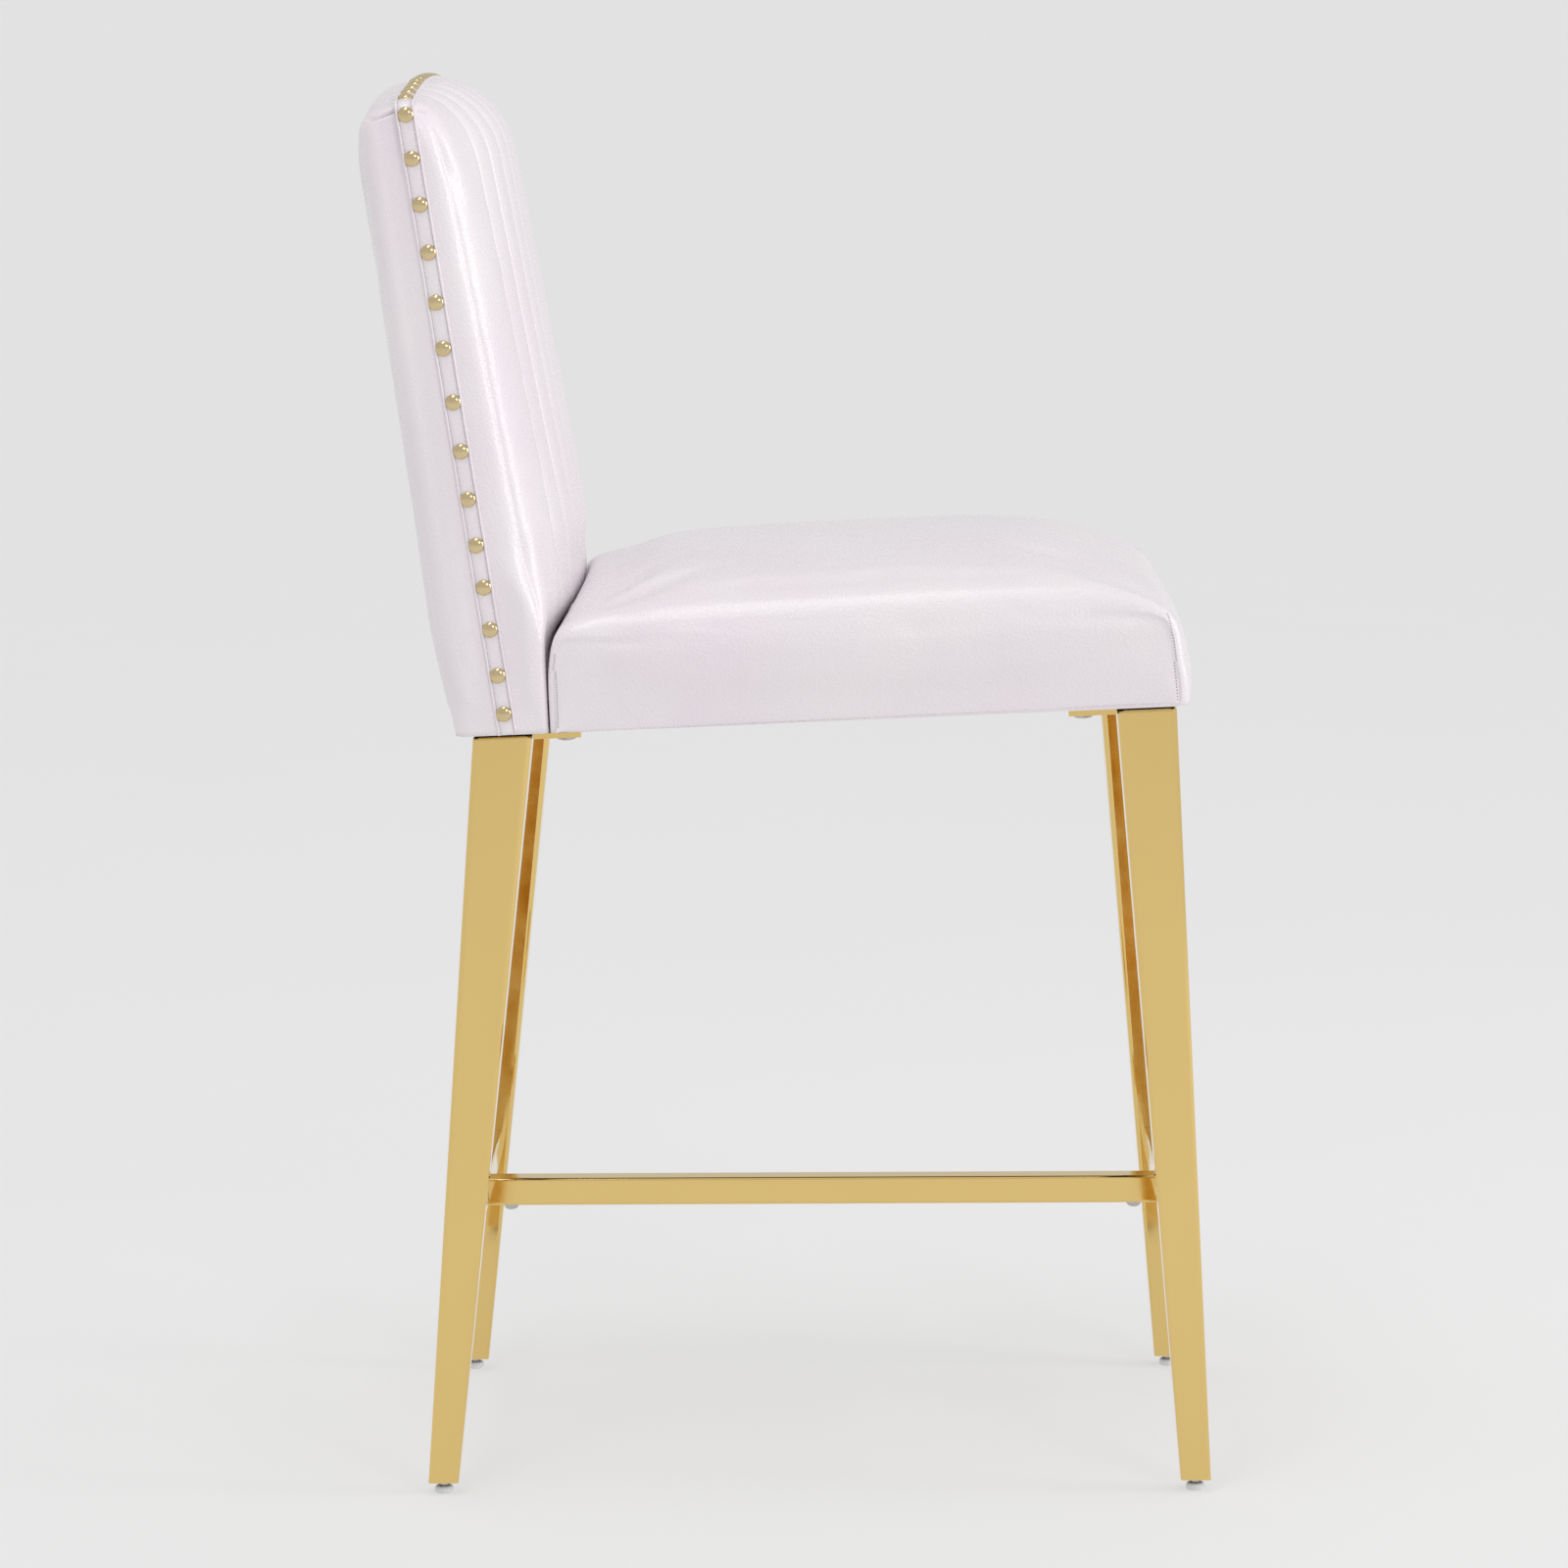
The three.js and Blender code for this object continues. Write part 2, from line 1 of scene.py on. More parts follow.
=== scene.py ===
"""Looks of the counter-height bar stool: upholstery, trim, nails, stitching and finishes.

Metres, in the part's own frame: +Z up, the stool faces -Y, the sitter's right is -X.
The upholstery is laid out in millimetres in a frame that slopes with the seat, and
`to_row` carries it into the part's frame.
"""

import json
import math

import bmesh
import bpy
import numpy as np
from mathutils import Euler, Matrix, Vector
from mathutils.kdtree import KDTree


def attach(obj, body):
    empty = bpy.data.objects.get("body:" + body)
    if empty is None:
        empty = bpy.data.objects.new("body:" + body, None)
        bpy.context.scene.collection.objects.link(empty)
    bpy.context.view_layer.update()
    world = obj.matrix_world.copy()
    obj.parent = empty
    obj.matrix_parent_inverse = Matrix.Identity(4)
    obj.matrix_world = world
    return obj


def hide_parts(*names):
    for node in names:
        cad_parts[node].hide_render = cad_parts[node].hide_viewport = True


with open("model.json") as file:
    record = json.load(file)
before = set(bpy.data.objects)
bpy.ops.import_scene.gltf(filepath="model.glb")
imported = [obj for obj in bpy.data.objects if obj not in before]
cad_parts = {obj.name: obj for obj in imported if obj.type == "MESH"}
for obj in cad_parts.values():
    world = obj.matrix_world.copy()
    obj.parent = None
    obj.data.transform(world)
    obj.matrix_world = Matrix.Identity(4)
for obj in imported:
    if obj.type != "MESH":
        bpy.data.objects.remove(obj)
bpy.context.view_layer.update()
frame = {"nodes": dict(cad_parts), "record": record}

BODY = "frame"

# The seat's underside slopes down towards the rear. Its plane passes through PLANE_Z
# above the middle of the floor.
SLOPE = math.radians(2.15)
PLANE_Z = 542.2

# Cloth simulation: the size of its mesh in metres, how many frames it runs, how hard the
# stuffing presses, and the farthest a point may move in millimetres.
VOXEL = 0.005
SIM_FRAMES = 18
PRESSURE = 4.0
MOVE_CAP = 3.0
NEIGHBOURS = 8

# ---------------------------------------------------------------- sizes, in millimetres

SEAT_HALF = 214.0
SEAT_BOTTOM = 1.4
SEAT_SEAM_PULL = 1.1
SEAT_SIDE_BULGE = 1.6
SEAT_FOAM_INSET = 4.0
SEAT_BOARD_TOP = 18.6

# The seat in profile, from the foot of its front over the top to the foot of its rear:
# y and z in the middle, y and z at the sides, and the radius of the side's edge there.
SEAT_PROFILE = [
    (-281.4, 1.4, -273.0, 1.4, 6.5),
    (-283.2, 4.0, -274.4, 4.0, 6.5),
    (-284.0, 11.0, -274.8, 11.0, 6.5),
    (-283.5, 20.0, -274.6, 20.0, 6.5),
    (-278.8, 36.0, -272.6, 34.0, 6.5),
    (-268.4, 61.0, -269.6, 55.0, 6.5),
    (-253.8, 83.5, -261.5, 69.0, 7.5),
    (-228.0, 98.0, -239.0, 79.5, 13.0),
    (-196.2, 106.2, -208.0, 86.0, 19.0),
    (-140.3, 110.4, -150.0, 90.0, 24.0),
    (-28.1, 111.0, -35.0, 89.5, 25.0),
    (62.5, 109.0, 58.0, 87.0, 24.0),
    (106.0, 104.6, 104.0, 83.5, 20.0),
    (127.5, 98.8, 130.0, 79.0, 15.0),
    (138.0, 94.0, 148.0, 75.5, 11.0),
    (142.0, 88.0, 156.0, 70.5, 8.0),
    (144.0, 79.0, 160.0, 63.0, 5.5),
    (148.5, 69.0, 162.0, 54.0, 4.5),
    (157.5, 56.0, 163.2, 42.0, 4.0),
    (162.6, 40.0, 163.6, 30.0, 4.0),
    (163.4, 22.0, 163.6, 20.0, 4.0),
    (163.4, 1.4, 163.6, 1.4, 4.0),
]

BACK_HALF = 214.0
BACK_TOP = 434.0
BACK_ARCH = 10.5
BACK_CROWN = 29.0
BACK_REAR_CROWN = 1.9
BACK_CORNER = 11.0
BACK_TUCK = 6.5
BACK_SOFT_CORNER = 28.0
SIDE_PUFF = 3.2
TOP_PUFF = 1.2
BACK_FOOT = 164.7
BACK_ROUND = 48.0
BACK_FOAM_INSET = 10.0
WADDING_INSET = 8.0
OPEN_FOOT = 2.5

NAIL_FOOT = 192.5
NAIL_LEAN = 0.1132
TRIM_WIDTH = 13.0

CHANNELS = 8
CHANNEL_HALF = 154.0
CHANNEL_DEPTH = 3.0
SEAM_DEPTH = 1.3
PLEAT_DEPTH = 2.6

# Heights of the side's nail heads above the foot of the back, along its slope.
NAIL_HEIGHTS = (
    16.2, 42.7, 74.5, 103.7, 132.7, 164.4, 197.4, 231.0, 267.9, 299.3, 333.4, 366.0, 397.2, 427.1,
)
NAILS_TOP = 13
NAIL_DIAMETER = 11.0
NAIL_HEIGHT = 3.4
NAIL_BASE = 0.9
TRIM_STEPS = 160

# In metres.
STITCH_RADIUS = 0.00045
STITCH_LIFT = 0.0001
LEATHER_THICKNESS = 0.0013


# ---------------------------------------------------------------- mesh helpers

def smoothstep(low, high, value):
    t = np.clip((value - low) / (high - low), 0.0, 1.0)
    return t * t * (3.0 - 2.0 * t)


def to_row(points):
    """Sloping frame in millimetres to the part's frame in metres."""
    points = np.asarray(points, float)
    c, s = math.cos(SLOPE), math.sin(SLOPE)
    x, y, z = points[:, 0], points[:, 1], points[:, 2]
    return np.stack([x, y * c + z * s, z * c - y * s + PLANE_Z], 1) / 1000.0


def new_object(name, points, faces, material, smooth=True):
    mesh = bpy.data.meshes.new(name)
    mesh.from_pydata([tuple(p) for p in points], [], [tuple(f) for f in faces])
    mesh.validate()
    mesh.update()
    mesh.shade_smooth() if smooth else mesh.shade_flat()
    mesh.materials.append(material)
    piece = bpy.data.objects.new(name, mesh)
    bpy.context.collection.objects.link(piece)
    return piece


def box_grid(us, vs, ws):
    """The surface of a box as a closed grid: its points (u, v, w) and its quads."""
    nu, nv, nw = len(us) - 1, len(vs) - 1, len(ws) - 1
    index, points, faces = {}, [], []

    def vertex(i, j, k):
        key = (i, j, k)
        if key not in index:
            index[key] = len(points)
            points.append((us[i], vs[j], ws[k]))
        return index[key]

    def quad(*corners):
        faces.append([vertex(*corner) for corner in corners])

    for i in range(nu):
        for j in range(nv):
            quad((i, j, 0), (i, j + 1, 0), (i + 1, j + 1, 0), (i + 1, j, 0))
            quad((i, j, nw), (i + 1, j, nw), (i + 1, j + 1, nw), (i, j + 1, nw))
    for i in range(nu):
        for k in range(nw):
            quad((i, 0, k), (i + 1, 0, k), (i + 1, 0, k + 1), (i, 0, k + 1))
            quad((i, nv, k), (i, nv, k + 1), (i + 1, nv, k + 1), (i + 1, nv, k))
    for j in range(nv):
        for k in range(nw):
            quad((0, j, k), (0, j, k + 1), (0, j + 1, k + 1), (0, j + 1, k))
            quad((nu, j, k), (nu, j + 1, k), (nu, j + 1, k + 1), (nu, j, k + 1))
    return np.array(points), faces


def round_plan(x, y, a, b, radius):
    """Moves points of the rectangle -a..a, -b..b so that its corners become arcs."""
    inner_x = np.clip(x, radius - a, a - radius)
    inner_y = np.clip(y, radius - b, b - radius)
    dx, dy = x - inner_x, y - inner_y
    length = np.hypot(dx, dy)
    pull = np.where(length > 1e-9, np.maximum(abs(dx), abs(dy)) / np.maximum(length, 1e-9), 1.0)
    return inner_x + dx * pull, inner_y + dy * pull


def edge_steps(count, share):
    """Grid values from -1 to 1 that crowd together near both ends."""
    even = np.linspace(-1.0, 1.0, count)
    return (1.0 - share) * even + share * np.sin(even * math.pi / 2)


def spline(table, count):
    """Rows of a table joined by a smooth curve and sampled again, evenly in its length."""
    table = np.array(table, float)
    ends = np.vstack([2 * table[0] - table[1], table, 2 * table[-1] - table[-2]])
    fine = []
    for i in range(len(table) - 1):
        p0, p1, p2, p3 = ends[i:i + 4]
        for t in np.linspace(0.0, 1.0, 24, endpoint=False):
            fine.append(0.5 * (2 * p1 + (p2 - p0) * t + (2 * p0 - 5 * p1 + 4 * p2 - p3) * t ** 2
                               + (3 * p1 - p0 - 3 * p2 + p3) * t ** 3))
    fine.append(table[-1])
    fine = np.array(fine)
    lengths = arc_lengths(fine[:, :2])
    even = np.linspace(0.0, lengths[-1], count)
    return np.stack([np.interp(even, lengths, column) for column in fine.T], 1)


def arc_lengths(line):
    return np.concatenate([[0.0], np.cumsum(np.linalg.norm(np.diff(line, axis=0), axis=1))])


def normals_of(points, faces):
    quads = np.array(faces)
    diagonal_a = points[quads[:, 2]] - points[quads[:, 0]]
    diagonal_b = points[quads[:, 3]] - points[quads[:, 1]]
    face_normals = np.cross(diagonal_a, diagonal_b)
    normals = np.zeros_like(points)
    for corner in range(4):
        np.add.at(normals, quads[:, corner], face_normals)
    return normals / np.maximum(np.linalg.norm(normals, axis=1, keepdims=True), 1e-12)


def inflate(points, faces, held):
    """How a leather skin moves when its stuffing presses on it, by cloth simulation.

    points are in millimetres; held(points) is True where the skin is fastened.
    The answer is a move for each of the points, in millimetres.
    """
    scene = bpy.context.scene
    skin = new_object("skin", points / 1000.0, faces, LEATHER)
    weld = bmesh.new()
    weld.from_mesh(skin.data)
    bmesh.ops.remove_doubles(weld, verts=weld.verts, dist=1e-5)
    bmesh.ops.recalc_face_normals(weld, faces=weld.faces)
    weld.to_mesh(skin.data)
    weld.free()
    bpy.context.view_layer.objects.active = skin
    skin.select_set(True)
    skin.data.remesh_voxel_size = VOXEL
    bpy.ops.object.voxel_remesh()

    count = len(skin.data.vertices)
    rest = np.empty(count * 3)
    skin.data.vertices.foreach_get("co", rest)
    rest = rest.reshape(-1, 3)
    group = skin.vertex_groups.new(name="held")
    group.add([int(i) for i in np.flatnonzero(held(rest * 1000.0))], 1.0, "REPLACE")
    cloth = skin.modifiers.new("cloth", "CLOTH")
    settings = cloth.settings
    settings.quality = 5
    settings.mass = 0.3
    settings.tension_stiffness = settings.compression_stiffness = 18.0
    settings.shear_stiffness = 6.0
    settings.bending_stiffness = 1.2
    settings.vertex_group_mass = "held"
    settings.use_pressure = True
    settings.uniform_pressure_force = PRESSURE
    settings.effector_weights.gravity = 0.0
    cloth.point_cache.frame_start = 1
    cloth.point_cache.frame_end = SIM_FRAMES
    for step in range(1, SIM_FRAMES + 1):
        scene.frame_set(step)
    settled = skin.evaluated_get(bpy.context.evaluated_depsgraph_get()).to_mesh()
    moved = np.empty(count * 3)
    settled.vertices.foreach_get("co", moved)
    moves = moved.reshape(-1, 3) - rest

    tree = KDTree(count)
    for i, place in enumerate(rest):
        tree.insert(place, i)
    tree.balance()
    answer = np.zeros_like(points)
    for i, place in enumerate(points / 1000.0):
        near = tree.find_n(place, NEIGHBOURS)
        weights = np.array([1.0 / (distance + 0.001) ** 2 for _, _, distance in near])
        answer[i] = (moves[[j for _, j, _ in near]] * weights[:, None]).sum(0) / weights.sum()
    bpy.data.objects.remove(skin)
    scene.frame_set(1)
    answer *= 1000.0
    size = np.linalg.norm(answer, axis=1, keepdims=True)
    return answer * (MOVE_CAP * np.tanh(size / MOVE_CAP) / np.maximum(size, 1e-9))


def ripple(points, size, seed):
    """Smooth pseudo-random values in -1..1 with features about `size` millimetres across."""
    rng = np.random.default_rng(seed)
    total = np.zeros(len(points))
    waves = 9
    for _ in range(waves):
        direction = rng.normal(size=3)
        direction /= np.linalg.norm(direction)
        length = size * rng.uniform(0.7, 1.6)
        total += np.sin(points @ direction * (2 * math.pi / length) + rng.uniform(0, 2 * math.pi))
    return total / waves * 1.6


# ---------------------------------------------------------------- materials

class Graph:
    """A short way to build one node material."""

    def __init__(self, name):
        self.material = bpy.data.materials.new(name)
        self.material.use_nodes = True
        self.tree = self.material.node_tree
        self.shader = self.tree.nodes["Principled BSDF"]
        self.place = self.node("ShaderNodeTexCoord").outputs["Object"]

    def node(self, kind, **inputs):
        node = self.tree.nodes.new(kind)
        for name, value in inputs.items():
            socket = node.inputs[name.replace("_", " ")]
            if isinstance(value, bpy.types.NodeSocket):
                self.tree.links.new(value, socket)
            else:
                socket.default_value = value
        return node

    def noise(self, scale, detail=2.0, rough=0.5, vector=None):
        node = self.node("ShaderNodeTexNoise", Scale=scale, Detail=detail, Roughness=rough)
        self.tree.links.new(vector or self.place, node.inputs["Vector"])
        return node.outputs["Fac"]

    def cells(self, scale, feature="F1", vector=None):
        node = self.tree.nodes.new("ShaderNodeTexVoronoi")
        node.feature = feature
        node.inputs["Scale"].default_value = scale
        self.tree.links.new(vector or self.place, node.inputs["Vector"])
        return node.outputs["Distance"]

    def remap(self, value, low, high, to_low, to_high):
        node = self.tree.nodes.new("ShaderNodeMapRange")
        self.tree.links.new(value, node.inputs["Value"])
        limits = {"From Min": low, "From Max": high, "To Min": to_low, "To Max": to_high}
        for name, number in limits.items():
            node.inputs[name].default_value = number
        return node.outputs["Result"]

    def mix(self, factor, first, second):
        node = self.tree.nodes.new("ShaderNodeMix")
        node.data_type = "RGBA"
        self.tree.links.new(factor, node.inputs["Factor"])
        node.inputs["A"].default_value = (*first, 1.0)
        node.inputs["B"].default_value = (*second, 1.0)
        return node.outputs["Result"]

    def stretch(self, x, y, z):
        node = self.tree.nodes.new("ShaderNodeMapping")
        node.inputs["Scale"].default_value = (x, y, z)
        self.tree.links.new(self.place, node.inputs["Vector"])
        return node.outputs["Vector"]

    def bump(self, height, strength, distance, under=None):
        node = self.tree.nodes.new("ShaderNodeBump")
        node.inputs["Strength"].default_value = strength
        node.inputs["Distance"].default_value = distance
        self.tree.links.new(height, node.inputs["Height"])
        if under is not None:
            self.tree.links.new(under, node.inputs["Normal"])
        return node.outputs["Normal"]

    def set(self, **values):
        for name, value in values.items():
            socket = self.shader.inputs[name.replace("_", " ")]
            if isinstance(value, bpy.types.NodeSocket):
                self.tree.links.new(value, socket)
            else:
                socket.default_value = value
        return self.material


def pearl_leather(name):
    g = Graph(name)
    tint = g.mix(g.remap(g.noise(9.0, 3.0), 0.35, 0.65, 0.0, 1.0), (0.87, 0.80, 0.85), (0.895, 0.84, 0.87))
    grain = g.cells(640.0, "SMOOTH_F1")
    fine = g.noise(1300.0, 2.0)
    normal = g.bump(g.noise(24.0, 2.0), 0.16, 0.005)
    normal = g.bump(grain, 0.55, 0.0006, normal)
    normal = g.bump(fine, 0.25, 0.0003, normal)
    rough = g.remap(grain, 0.1, 0.8, 0.22, 0.38)
    return g.set(
        Base_Color=tint, Roughness=rough, Normal=normal, Coat_Weight=0.35, Coat_Roughness=0.2,
        Sheen_Weight=0.1, Sheen_Roughness=0.4, Specular_IOR_Level=0.5,
    )


def polished_gold(name):
    g = Graph(name)
    tone = g.mix(g.noise(7.0, 3.0), (0.795, 0.572, 0.215), (0.825, 0.60, 0.235))
    smudge = g.remap(g.noise(40.0, 4.0), 0.3, 0.75, 0.05, 0.13)
    streak = g.noise(300.0, 3.0, vector=g.stretch(1.0, 1.0, 0.04))
    normal = g.bump(g.noise(16.0, 1.0), 0.05, 0.004)
    normal = g.bump(streak, 0.02, 0.0002, normal)
    return g.set(Base_Color=tone, Metallic=1.0, Roughness=smudge, Normal=normal)


def nail_brass(name):
    g = Graph(name)
    tone = g.mix(g.noise(180.0, 3.0), (0.66, 0.52, 0.29), (0.76, 0.62, 0.37))
    rough = g.remap(g.noise(500.0, 3.0), 0.3, 0.7, 0.08, 0.18)
    normal = g.bump(g.noise(700.0, 2.0), 0.05, 0.0002)
    return g.set(Base_Color=tone, Metallic=1.0, Roughness=rough, Normal=normal)


def bright_zinc(name):
    g = Graph(name)
    tone = g.mix(g.noise(90.0, 3.0), (0.46, 0.46, 0.46), (0.60, 0.60, 0.59))
    rough = g.remap(g.noise(260.0, 3.0), 0.3, 0.7, 0.16, 0.34)
    normal = g.bump(g.noise(900.0, 2.0), 0.08, 0.0002)
    return g.set(Base_Color=tone, Metallic=1.0, Roughness=rough, Normal=normal)


def brass_insert(name):
    g = Graph(name)
    tone = g.mix(g.noise(120.0, 3.0), (0.42, 0.27, 0.08), (0.55, 0.37, 0.13))
    normal = g.bump(g.noise(1200.0, 2.0), 0.1, 0.0002)
    rough = g.remap(g.noise(400.0), 0.3, 0.7, 0.28, 0.45)
    return g.set(Base_Color=tone, Metallic=1.0, Roughness=rough, Normal=normal)


def moulded_plastic(name, dark, light, rough):
    g = Graph(name)
    tone = g.mix(g.noise(150.0, 3.0), dark, light)
    normal = g.bump(g.noise(2200.0, 2.0), 0.1, 0.0001)
    speckle = g.remap(g.noise(700.0), 0.3, 0.7, rough - 0.05, rough + 0.08)
    return g.set(Base_Color=tone, Roughness=speckle, Normal=normal)


def wood(name):
    g = Graph(name)
    rings = g.noise(60.0, 5.0, vector=g.stretch(0.12, 1.0, 1.0))
    tone = g.mix(g.remap(rings, 0.35, 0.65, 0.0, 1.0), (0.50, 0.33, 0.17), (0.66, 0.48, 0.28))
    normal = g.bump(rings, 0.25, 0.0004)
    return g.set(Base_Color=tone, Roughness=g.remap(rings, 0.3, 0.7, 0.6, 0.8), Normal=normal)


def open_foam(name):
    g = Graph(name)
    cell = g.cells(900.0)
    tone = g.mix(g.noise(25.0, 3.0), (0.72, 0.62, 0.36), (0.80, 0.72, 0.47))
    return g.set(Base_Color=tone, Roughness=0.95, Normal=g.bump(cell, 0.6, 0.0006))


def felted_cloth(name):
    g = Graph(name)
    fibre = g.noise(1400.0, 4.0, vector=g.stretch(1.0, 0.3, 1.0))
    dimple = g.cells(420.0)
    tone = g.mix(fibre, (0.010, 0.010, 0.011), (0.028, 0.028, 0.031))
    normal = g.bump(dimple, 0.35, 0.0003, g.bump(fibre, 0.4, 0.0002))
    return g.set(Base_Color=tone, Roughness=0.92, Sheen_Weight=0.2, Normal=normal)


def thread(name):
    g = Graph(name)
    twist = g.noise(1600.0, 2.0)
    tone = g.mix(twist, (0.34, 0.30, 0.32), (0.50, 0.45, 0.47))
    return g.set(Base_Color=tone, Roughness=0.6, Normal=g.bump(twist, 0.4, 0.0002))


LEATHER = pearl_leather("pearl_leather")
TRIM = pearl_leather("trim_leather")
GOLD = polished_gold("polished_gold")
NAIL = nail_brass("nail_brass")
THREAD = thread("sewing_thread")
FOAM = open_foam("open_foam")
FINISHES = {
    "gold": GOLD,
    "zinc": bright_zinc("bright_zinc"),
    "brass": brass_insert("brass_insert"),
    "white_leather": LEATHER,
    "trim_leather": TRIM,
    "foam": FOAM,
    "timber": wood("plywood"),
    "black_cloth": felted_cloth("dust_cover_cloth"),
    "black_plastic": moulded_plastic("plug_plastic", (0.012, 0.012, 0.013), (0.02, 0.02, 0.022), 0.5),
    "pad_plastic": moulded_plastic("pad_plastic", (0.74, 0.74, 0.76), (0.80, 0.80, 0.82), 0.38),
}


def finish_frame_nodes():
    """Gives every CAD node the finish of its slot."""
    for part in frame["record"]["subparts"]:
        node = frame["nodes"][part["node"]]
        node.data.materials.clear()
        node.data.materials.append(FINISHES[part["material_slot"]])


# ---------------------------------------------------------------- seat

def seat_skin(across, along, turns, inset=0.0):
    """The seat's skin, closed below: points in millimetres and faces.

    `across` counts the steps over half of the top, `along` those of its profile and
    `turns` those round the side's edge.
    """
    profile = spline(SEAT_PROFILE, along)
    centre, side, radius = profile[:, 0:2], profile[:, 2:4], profile[:, 4]
    tangent = np.gradient(side, axis=0)
    tangent /= np.linalg.norm(tangent, axis=1, keepdims=True)
    inward = np.stack([tangent[:, 1], -tangent[:, 0]], 1)

    flat = np.linspace(0.0, 1.0, across)
    angles = np.linspace(0.0, math.pi / 2, turns)[1:]
    reach = np.concatenate([
        flat[None, :] * (SEAT_HALF - radius)[:, None],
        (SEAT_HALF - radius)[:, None] + radius[:, None] * np.sin(angles)[None, :],
    ], 1)
    sink = np.concatenate([np.zeros((along, across)), radius[:, None] * (1 - np.cos(angles))[None, :]], 1)
    share = (reach / SEAT_HALF) ** 2
    half = centre[:, None, :] + (side - centre)[:, None, :] * share[..., None]
    half = half + inward[:, None, :] * sink[..., None]
    half = np.concatenate([reach[..., None], half], 2)
    full = np.concatenate([half[:, :0:-1] * (-1, 1, 1), half], 1)
    full[..., 2] = np.maximum(full[..., 2], SEAT_BOTTOM)
    seam = smoothstep(0.0, 8.0, full[:, -1, 2]) * (1 - smoothstep(60.0, 76.0, full[:, -1, 2]))
    for column in (0, -1):
        full[:, column, 0] -= np.sign(full[:, column, 0]) * SEAT_SEAM_PULL * seam
    rows, columns = full.shape[:2]
    points = [full.reshape(-1, 3)]
    faces = [
        [i * columns + k, i * columns + k + 1, (i + 1) * columns + k + 1, (i + 1) * columns + k]
        for i in range(rows - 1) for k in range(columns - 1)
    ]

    # the two flat sides
    steps = 15
    for end in (0, columns - 1):
        edge = full[:, end]
        foot = edge.copy()
        foot[:, 2] = SEAT_BOTTOM
        foot[:, 1] = np.linspace(edge[0, 1], edge[-1, 1], rows)
        base = sum(len(p) for p in points)
        levels = 1 - np.linspace(0.0, 1.0, steps)[:, None, None]
        panel = foot[None] + (edge - foot)[None] * levels
        bulge = SEAT_SIDE_BULGE * np.sin(np.pi * (1 - levels[..., 0]) ** 0.8)
        panel[..., 0] += np.sign(edge[0, 0]) * bulge
        points.append(panel.reshape(-1, 3))
        for i in range(steps - 1):
            for k in range(rows - 1):
                quad = [base + i * rows + k, base + i * rows + k + 1,
                        base + (i + 1) * rows + k + 1, base + (i + 1) * rows + k]
                faces.append(quad if end else quad[::-1])

    # the underside
    base = sum(len(p) for p in points)
    strips = 10
    shares = np.linspace(0.0, 1.0, strips + 1)[:, None, None]
    floor = full[0][None] * (1 - shares) + full[-1][None] * shares
    points.append(floor.reshape(-1, 3))
    for i in range(strips):
        for k in range(columns - 1):
            faces.append([base + i * columns + k, base + (i + 1) * columns + k,
                          base + (i + 1) * columns + k + 1, base + i * columns + k + 1])
    points = np.concatenate(points)
    if inset:
        points = points * (1 - inset / SEAT_HALF, 1 - inset / 224, 1) + (0, -inset * 0.27, 0)
        points[:, 2] -= inset * smoothstep(30.0, 60.0, points[:, 2])
    return points, faces


def seat_is_held(points):
    """The seat's skin is stapled under the board and sewn up its four corners."""
    x, y, z = points.T
    corner = (abs(x) > SEAT_HALF - 5) & ((y < -262) | (y > 157)) & (z < 70)
    return (z < 6) | corner


def make_seat():
    """The seat's leather and the foam inside it. Gives back the leather."""
    points, faces = seat_skin(60, 130, 12)
    x, y, z = points.T
    free = smoothstep(14.0, 40.0, z) * (1 - smoothstep(110.0, 138.0, y))
    points = points + inflate(points, faces, seat_is_held) * free[:, None]
    top = smoothstep(20.0, 60.0, z)
    points[:, 2] += ripple(points * (1, 1, 0.3), 130.0, 5) * 0.7 * top * free
    pucker = np.exp(-((y + 262.0) / 26.0) ** 2) * smoothstep(30.0, 60.0, z)
    pucker = pucker * smoothstep(150.0, 205.0, abs(x))
    points[:, 2] += np.sin(y * 0.55 + z * 0.2) * 0.35 * pucker
    seat = new_object("seat_leather", to_row(points), faces, LEATHER)
    welded(seat)
    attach(seat, BODY)
    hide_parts("seat_cover")

    points, faces = seat_skin(18, 50, 5, inset=SEAT_FOAM_INSET)
    points[:, 2] = np.maximum(points[:, 2], SEAT_BOARD_TOP)
    foam = new_object("seat_foam_pad", to_row(points), faces, FOAM)
    welded(foam)
    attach(foam, BODY)
    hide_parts("seat_foam")
    return seat


def make_seat_seams(seat):
    """The stitches up the seat's four corners, each laid on the leather."""
    ends = 60
    heights = np.linspace(6.0, 68.0, ends)
    points, faces = [], []
    for sign in (-1, 1):
        wide = np.full(ends, sign * (SEAT_HALF + 1.0))
        front = np.stack([wide, -267.4 + 0.055 * heights, heights], 1)
        rear = np.stack([wide, np.full(ends, 158.0), heights * 0.82], 1)
        for line in (front, rear):
            laid = []
            for place in to_row(line):
                _, near, normal, _ = seat.closest_point_on_mesh(Vector(place))
                laid.append(np.array(near + normal * STITCH_LIFT))
            for start, end in zip(laid[:-1:2], laid[1::2]):
                stitch(points, faces, start, end)
    piece = new_object("seat_stitches", points, faces, THREAD)
    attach(piece, BODY)


